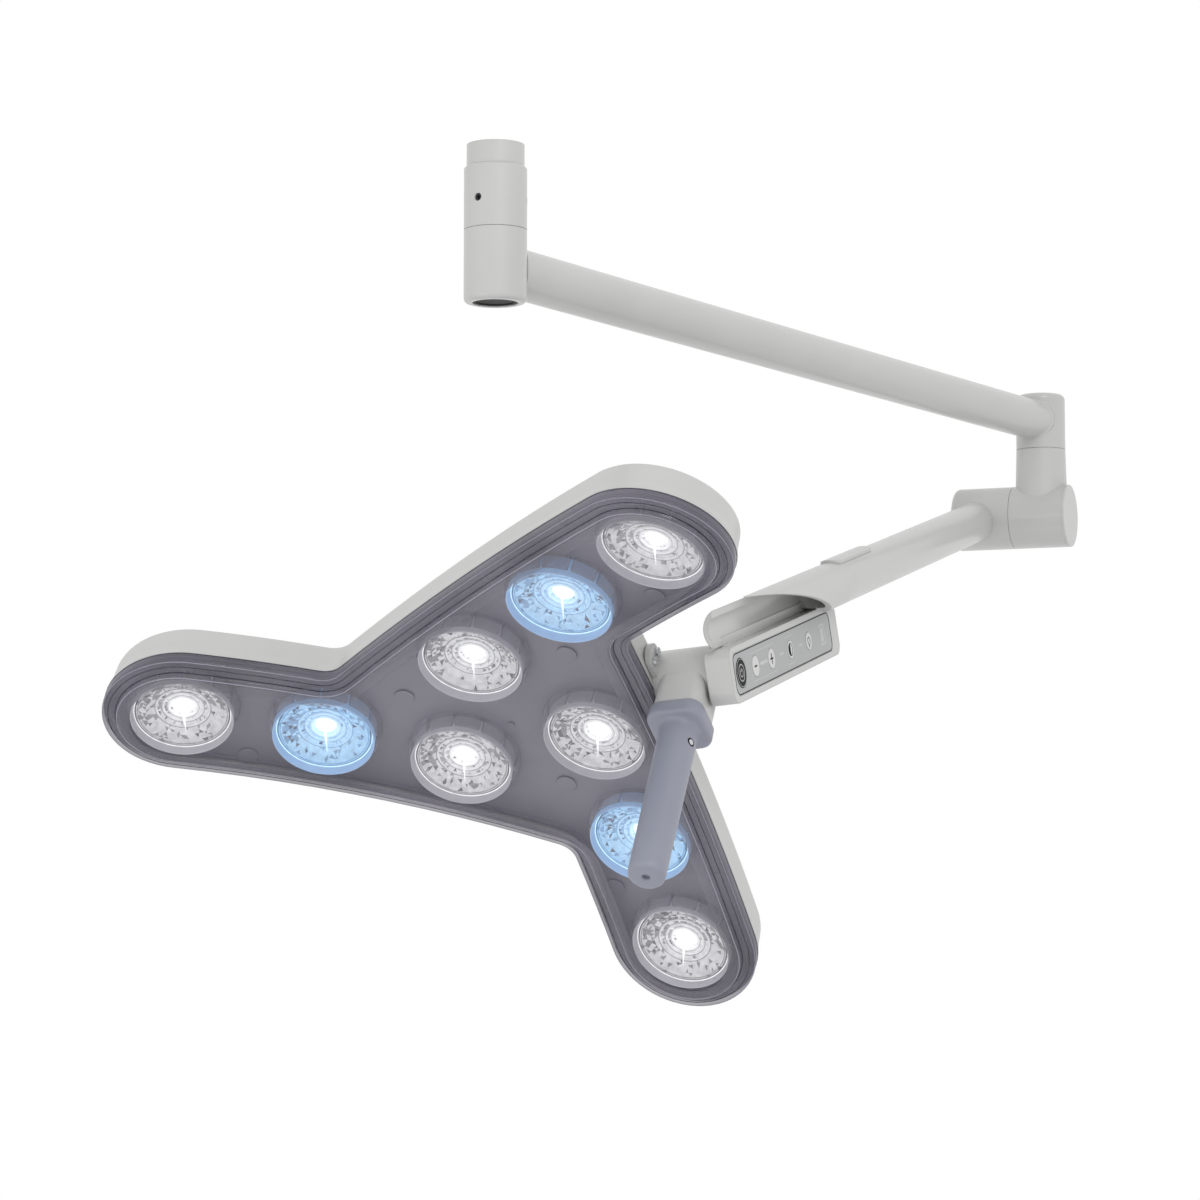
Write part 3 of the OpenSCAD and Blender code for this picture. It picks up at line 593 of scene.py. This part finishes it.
def make_lamp(number):
    tone = "blue" if number % 3 == 2 else "white"
    place = on_dish(*lamp_point(number))
    slot = "lens_" + tone
    inner = place @ shift(0, 0, LENS_LEVEL)
    body = revolve([(46, 12), (46.3, -7.4), (46.1, -8.3), (45.6, -8.8), (45.1, -8.5), (44.8, -7.6),
                    (44.1, -2.3), (43.6, -1.5), (42.4, -0.9), (42.4, 12)], 96)
    piece("lamp_wall_%d" % number, *body, place, "head", slot, ["wall_" + tone],
          stands_for=("lens_%d" % number,))
    rim = bead(43.0, 0.42, 0.1, 96, 8)
    piece("lamp_rim_%d" % number, *rim, inner, "head", slot, ["core_" + tone])
    verts, faces, shades = make_bowl()
    piece("lamp_bowl_%d" % number, verts, faces, inner, "head", slot,
          ["optic_" + tone, "optic_%s_grey" % tone, "optic_%s_dark" % tone],
          smooth=False, faces_material=shades,
          stands_for=("lamp_reflectors",) if number == 1 else ())
    rings = joined([bead(23.6, 0.9, 6.9), bead(17.4, 1.1, 8.2), bead(12.4, 1.2, 8.8)])
    piece("lamp_rings_%d" % number, *rings, inner, "head", slot, ["optic_" + tone])
    # Grey beads between the bright rings and near the bowl's edge: painted shade in the gaps.
    shadows = joined([bead(25.0, 0.45, 6.6), bead(19.2, 0.45, 8.0), bead(14.4, 0.4, 8.4),
                      bead(39.8, 0.35, 0.2)])
    piece("lamp_ring_gaps_%d" % number, *shadows, inner, "head", slot, ["optic_%s_grey" % tone])
    dome = [(9.6, 11.4)] + [(6.8 * math.cos(math.radians(t)), 10.4 - 5.0 * math.sin(math.radians(t)))
                            for t in range(0, 90, 15)] + [(0, 5.3)]
    # A thin glowing streak across the core is a painted highlight; the dome under it is the lamp's hot centre.
    highlight_streak = []
    for k in range(13):
        x = -30 + 42 * k / 12
        half = 0.2 + 0.9 * math.sin(math.pi * (k + 0.4) / 12.8) ** 2
        highlight_streak.append([(x, -half, 5.0), (x, half, 5.0), (x, half, 5.4), (x, -half, 5.4)])
    core = joined([revolve(dome, 48, close=False), moved(loft(highlight_streak), turn("Z", HIGHLIGHT_STREAK_TURN))])
    piece("lamp_core_%d" % number, *core, inner, "head", slot, ["core_" + tone])
    front = [(0, -0.9)] + [(r, -0.9 + 0.75 * (r / 41.2) ** 2) for r in (8, 16, 24, 32, 38, 41.2)]
    back = [(r, z + 0.5) for r, z in reversed(front)]
    piece("lamp_glass_%d" % number, *revolve(front + back, 72, close=False), inner, "head", slot, ["glass"])


def make_petals(number):
    """Twelve frosted tabs standing round a lens."""
    place = on_dish(*lamp_point(number))
    tabs = []
    for k in range(12):
        middle, half = 30 * k + 8 * number, 13.6
        loops = []
        for r, z, inset in ((46.5, 10.8, 0), (46.7, -2.6, 0.2), (46.9, -3.6, 1.4), (47.9, -3.6, 1.4),
                            (48.5, -2.6, 0.2), (51.6, 10.8, 0)):
            loops.append([(r * math.cos(math.radians(middle + s * (half - inset) / 6)),
                           r * math.sin(math.radians(middle + s * (half - inset) / 6)), z)
                          for s in range(-6, 7)])
        across = len(loops[0])
        verts = [p for loop in loops for p in loop]
        faces = []
        for n in range(len(loops)):
            o = (n + 1) % len(loops)
            for s in range(across - 1):
                faces.append((n * across + s, n * across + s + 1, o * across + s + 1, o * across + s))
        faces.append(tuple(n * across for n in range(len(loops))))
        faces.append(tuple(n * across + across - 1 for n in reversed(range(len(loops)))))
        tabs.append((verts, faces))
    piece("lamp_petals_%d" % number, *joined(tabs), place, "head", "frosted_clear", ["frosted_clear"],
          stands_for=("lamp_bezels",) if number == 1 else ())


# ---- Grip ----

def round_square(half, corner, z, count=64):
    """A loop round a square with rounded corners, in even steps of angle."""
    loop = []
    for k in range(count):
        a = 2 * math.pi * k / count
        dx, dy = math.cos(a), math.sin(a)
        flat = half - corner
        reach = half / max(abs(dx), abs(dy))
        x, y = dx * reach, dy * reach
        if min(abs(x), abs(y)) > flat:
            b = -flat * (abs(dx) + abs(dy))
            c = 2 * flat * flat - corner * corner
            t = (-b + math.sqrt(max(0.0, b * b - c)))
            x, y = dx * t, dy * t
        loop.append((x, y, z))
    return loop


def round_loop(r, z, count=64):
    return [(r * math.cos(2 * math.pi * k / count), r * math.sin(2 * math.pi * k / count), z)
            for k in range(count)]


def make_grip():
    place = HEAD @ shift(0, GRIP_Y, 0)
    loops = [round_loop(8.06, -164), round_loop(8.06, GRIP_TOP)]
    loops += [round_square(h, c, z) for h, c, z in
              ((22.6, 11.5, GRIP_TOP), (24.2, 12.5, GRIP_TOP - 0.6), (25, 13, GRIP_TOP - 2.2),
               (25.2, 13, GRIP_COLLAR_LOW + 3.6), (24.8, 12.8, GRIP_COLLAR_LOW + 1.5),
               (23.6, 12.4, GRIP_COLLAR_LOW + 0.3), (22, 12, GRIP_COLLAR_LOW))]
    loops += [round_loop(r, z) for r, z in
              ((20, GRIP_COLLAR_LOW - 0.2), (18.7, GRIP_COLLAR_LOW - 1), (17.8, GRIP_COLLAR_LOW - 2.6),
               (17.2, GRIP_COLLAR_LOW - 5), (GRIP_R, GRIP_COLLAR_LOW - 9), (16.8, -100), (16.5, -150),
               (16.2, -190), (16.2, -201.5), (15.7, -204), (14.3, -205.7), (12.2, GRIP_END), (4.6, GRIP_END),
               (3.6, -205.8), (3.1, -204.9), (3.0, -202.5))]
    piece("grip_shell", *loft(loops), place, "grip", "grip_plastic", ["grip_plastic"], stands_for=("grip",))
    hole = place @ shift(0, 0, LATCH_LEVEL) @ turn("Z", LATCH_TURN) @ turn("Y", 90)
    ring = revolve([(4.0, 16.3), (4.0, 16.95), (3.6, 17.05), (2.7, 17.05), (2.65, 16.3)], 32)
    piece("latch_cup", *ring, hole, "grip", "grip_plastic", ["print_dark"])


# ---- Control bar markings ----

def flat_ring(outer, inner, count=40, arc=360.0, start=0.0, thick=0.12):
    """A thin printed ring or arc in X and Z, standing along Y."""
    whole = arc >= 360
    steps = count if whole else count + 1
    verts, faces = [], []
    for k in range(steps):
        a = math.radians(start + arc * k / count)
        for r, y in ((inner, 0), (outer, 0), (outer, thick), (inner, thick)):
            verts.append((r * math.sin(a), y, r * math.cos(a)))
    for k in range(count):
        m = (k + 1) % steps
        for s in range(4):
            t = (s + 1) % 4
            faces.append((4 * k + s, 4 * m + s, 4 * m + t, 4 * k + t))
    if not whole:
        faces += [(0, 1, 2, 3), tuple(4 * count + s for s in (3, 2, 1, 0))]
    return verts, faces


def flat_shape(points, thick=0.12):
    """A thin printed shape with the given X and Z corners."""
    n = len(points)
    verts = [(x, 0, z) for x, z in points] + [(x, thick, z) for x, z in points]
    faces = [tuple(range(n))[::-1], tuple(range(n, 2 * n))]
    faces += [(k, (k + 1) % n, n + (k + 1) % n, n + k) for k in range(n)]
    return verts, faces


def flat_box(x0, x1, z0, z1):
    return flat_shape([(x0, z0), (x1, z0), (x1, z1), (x0, z1)])


def rounded_corners(x0, x1, z0, z1, corner, steps=6):
    points = []
    for cx, cz, begin in ((x1 - corner, z1 - corner, 0), (x0 + corner, z1 - corner, 90),
                          (x0 + corner, z0 + corner, 180), (x1 - corner, z0 + corner, 270)):
        for k in range(steps + 1):
            a = math.radians(begin + 90 * k / steps)
            points.append((cx + corner * math.cos(a), cz + corner * math.sin(a)))
    return points


def outline_strip(x0, x1, z0, z1, corner, line, thick=0.12):
    """A thin printed line round a rounded rectangle."""
    outer = rounded_corners(x0, x1, z0, z1, corner)
    inner = rounded_corners(x0 + line, x1 - line, z0 + line, z1 - line, corner - line)
    n = len(outer)
    verts = ([(x, 0, z) for x, z in inner] + [(x, 0, z) for x, z in outer]
             + [(x, thick, z) for x, z in outer] + [(x, thick, z) for x, z in inner])
    faces = []
    for s in range(4):
        t = (s + 1) % 4
        for k in range(n):
            m = (k + 1) % n
            faces.append((s * n + k, s * n + m, t * n + m, t * n + k))
    return verts, faces


KEYS = {"power_key": 6.0, "minus_key": -34.0, "plus_key": -80.0, "mode_key": -136.0, "lamp_key": -192.0}


def mark(name, body, x, level, part, look, slot):
    """Prints a symbol on the control bar, on the keypad film or on a key."""
    piece(name, *part, HUB @ shift(x, level, 0), body, slot, [look], smooth=False)


def make_markings():
    on_key, on_film = BAR_THICK + 0.3, BAR_THICK - 0.1
    mark("power_rings", "power_key", KEYS["power_key"], on_key,
         joined([flat_ring(7.6, 6.9), flat_ring(12.4, 12.0), flat_ring(3.9, 3.2, arc=290, start=35),
                 flat_box(-0.35, 0.35, 0.6, 4.4)]), "print_light", "key_plastic")
    mark("minus_sign", "minus_key", KEYS["minus_key"], on_key, flat_box(-3.6, 3.6, -0.7, 0.7),
         "print_dark", "dark_plastic")
    mark("plus_sign", "plus_key", KEYS["plus_key"], on_key,
         joined([flat_box(-4.2, 4.2, -0.7, 0.7), flat_box(-0.7, 0.7, 0.7, 4.6), flat_box(-0.7, 0.7, -4.6, -0.7)]),
         "print_dark", "dark_plastic")
    half_disc = [(5.2 * math.sin(math.radians(a)), 5.2 * math.cos(math.radians(a))) for a in range(0, 181, 12)]
    mark("mode_sign", "mode_key", KEYS["mode_key"], on_key,
         joined([flat_ring(5.9, 5.2), flat_shape(half_disc)]), "print_dark", "dark_plastic")
    bulb = joined([flat_ring(3.6, 2.8, arc=280, start=-140), flat_box(-1.6, 1.6, -4.4, -3.4),
                   flat_box(-1.2, 1.2, -5.8, -5.0), flat_box(-2.2, -1.6, -3.0, -2.0),
                    flat_box(1.6, 2.2, -3.0, -2.0)])
    mark("lamp_sign", "lamp_key", KEYS["lamp_key"], on_key, bulb, "print_dark", "dark_plastic")
    panel = joined([flat_shape(rounded_corners(-243, -226, -10, 10, 2.5))])
    mark("panel_patch", "balanced_arm", 0, on_film, panel, "print_patch", "key_plastic")
    inner = joined([outline_strip(-240.5, -228.5, -7.5, 7.5, 1.5, 0.7)])
    mark("panel_patch_line", "balanced_arm", 0, on_film + 0.12, inner, "keypad_film", "keypad_film")
    frame_line = outline_strip(-261.6, 23.6, -18.1, 18.1, 7.8, 0.8)
    mark("keypad_outline", "balanced_arm", 0, on_film, frame_line, "print_dark", "dark_plastic")
    groups = joined([outline_strip(-93, -22, -12.5, 12.5, 3, 0.45),
                     outline_strip(-148, -124, -12.5, 12.5, 3, 0.45)])
    mark("group_lines", "balanced_arm", 0, on_film, groups, "print_light", "key_plastic")
    bars = joined([flat_box(-50.6 - 4.2 * n, -48.4 - 4.2 * n, -2.2, 2.2) for n in range(5)])
    mark("level_bars", "balanced_arm", 0, on_film + 0.12, bars, "print_light", "indicator")
    dots = joined([flat_box(-107 - 4 * n, -105 - 4 * n, -1.2, 1.2) for n in range(3)]
                  + [flat_box(-163 - 4 * n, -161 - 4 * n, -1.2, 1.2) for n in range(3)])
    mark("key_dots", "balanced_arm", 0, on_film, dots, "print_light", "key_plastic")


# ---- Arms: weld fillets, seam lines and soft joints ----

def weld(name, place, body, tube_r, drum_r, side):
    """A smooth fillet where a tube along X enters an upright drum."""
    loops = []
    for k in range(48):
        a = 2 * math.pi * k / 48
        y, z = tube_r * math.cos(a), tube_r * math.sin(a)
        x = side * math.sqrt(drum_r * drum_r - y * y)
        out = Vector((0, math.cos(a), math.sin(a)))
        base = Vector((x, y, z))
        loops.append([tuple(base + out * lift + Vector((side * along, 0, 0)))
                      for lift, along in ((2.2, -1.4), (1.0, 0.6), (0.3, 2.0), (-0.6, 3.2), (-1.2, -1.5))])
    count = len(loops[0])
    verts = [p for loop in loops for p in loop]
    faces = []
    for k in range(48):
        m = (k + 1) % 48
        for s in range(count):
            t = (s + 1) % count
            faces.append((k * count + s, k * count + t, m * count + t, m * count + s))
    piece(name, verts, faces, place, body, "white_paint", ["white_paint"])


def make_arm_details():
    weld("weld_ceiling", shift(0, 0, ARM_LEVEL), "extension_arm", ARM_R, JOINT_R, 1)
    weld("weld_elbow", shift(EXTENSION, 0, ARM_LEVEL), "extension_arm", ARM_R, JOINT_R, -1)


# ---- Stage ----

def area_light(name, place, aim, size, power, colour=(1, 1, 1)):
    data = bpy.data.lights.new(name, "AREA")
    data.shape = "RECTANGLE"
    data.size, data.size_y = size
    data.energy = power
    data.color = colour
    lamp = bpy.data.objects.new(name, data)
    bpy.context.scene.collection.objects.link(lamp)
    lamp.location = place
    lamp.rotation_euler = (Vector(aim) - Vector(place)).to_track_quat("-Z", "Y").to_euler()


def make_stage():
    floor_level = -2.2
    mesh = bpy.data.meshes.new("floor")
    reach, steps = 9.0, 6
    verts = [(-reach + 2 * reach * i / steps, -reach + 2 * reach * j / steps, floor_level)
             for i in range(steps + 1) for j in range(steps + 1)]
    faces = [(i * (steps + 1) + j, (i + 1) * (steps + 1) + j, (i + 1) * (steps + 1) + j + 1,
              i * (steps + 1) + j + 1)
             for i in range(steps) for j in range(steps)]
    mesh.from_pydata(verts, [], faces)
    mesh.materials.append(grained("floor", (0.93, 0.93, 0.93), 0.01, 0.8, 30, 0.02, 0.0))
    floor = bpy.data.objects.new("floor", mesh)
    bpy.context.scene.collection.objects.link(floor)
    world = bpy.data.worlds.new("studio")
    bpy.context.scene.world = world
    world.use_nodes = True
    background = world.node_tree.nodes["Background"]
    background.inputs["Color"].default_value = (1, 1, 1, 1)
    background.inputs["Strength"].default_value = 1.0
    area_light("key", (-1.6, -2.4, 1.7), (0.4, 0, -0.4), (1.6, 1.2), 34)
    area_light("fill", (-2.6, 0.6, -0.9), (0.2, 0, -0.4), (1.4, 1.4), 10)
    bpy.context.scene.view_settings.view_transform = "Standard"


def make_camera():
    data = bpy.data.cameras.new("camera")
    data.lens = 106.14
    data.sensor_width = 36
    data.clip_end = 40
    camera = bpy.data.objects.new("camera", data)
    bpy.context.scene.collection.objects.link(camera)
    forward = Vector((0.842308, 0.530858, 0.093314))
    camera.location = (-2.40434, -1.61796, -0.65152)
    camera.rotation_euler = forward.to_track_quat("-Z", "Y").to_euler()
    bpy.context.scene.camera = camera


def dress_nodes():
    """Gives every CAD node that stays in view the finish of its material slot."""
    slots = {part["node"]: part["material_slot"] for part in frame["record"]["subparts"]}
    for name, node in frame["nodes"].items():
        look = slots[name]
        if look == "clear_cover":
            look = "cover_face"
        elif look.startswith("lens_"):
            look = "wall_blue" if look == "lens_blue" else "wall_white"
        node.data.materials.clear()
        node.data.materials.append(looks[look])


dress_nodes()
make_housing()
make_cover()
make_carrier()
for lamp in range(1, 10):
    make_lamp(lamp)
    make_petals(lamp)
make_grip()
make_markings()
make_arm_details()
make_stage()
make_camera()
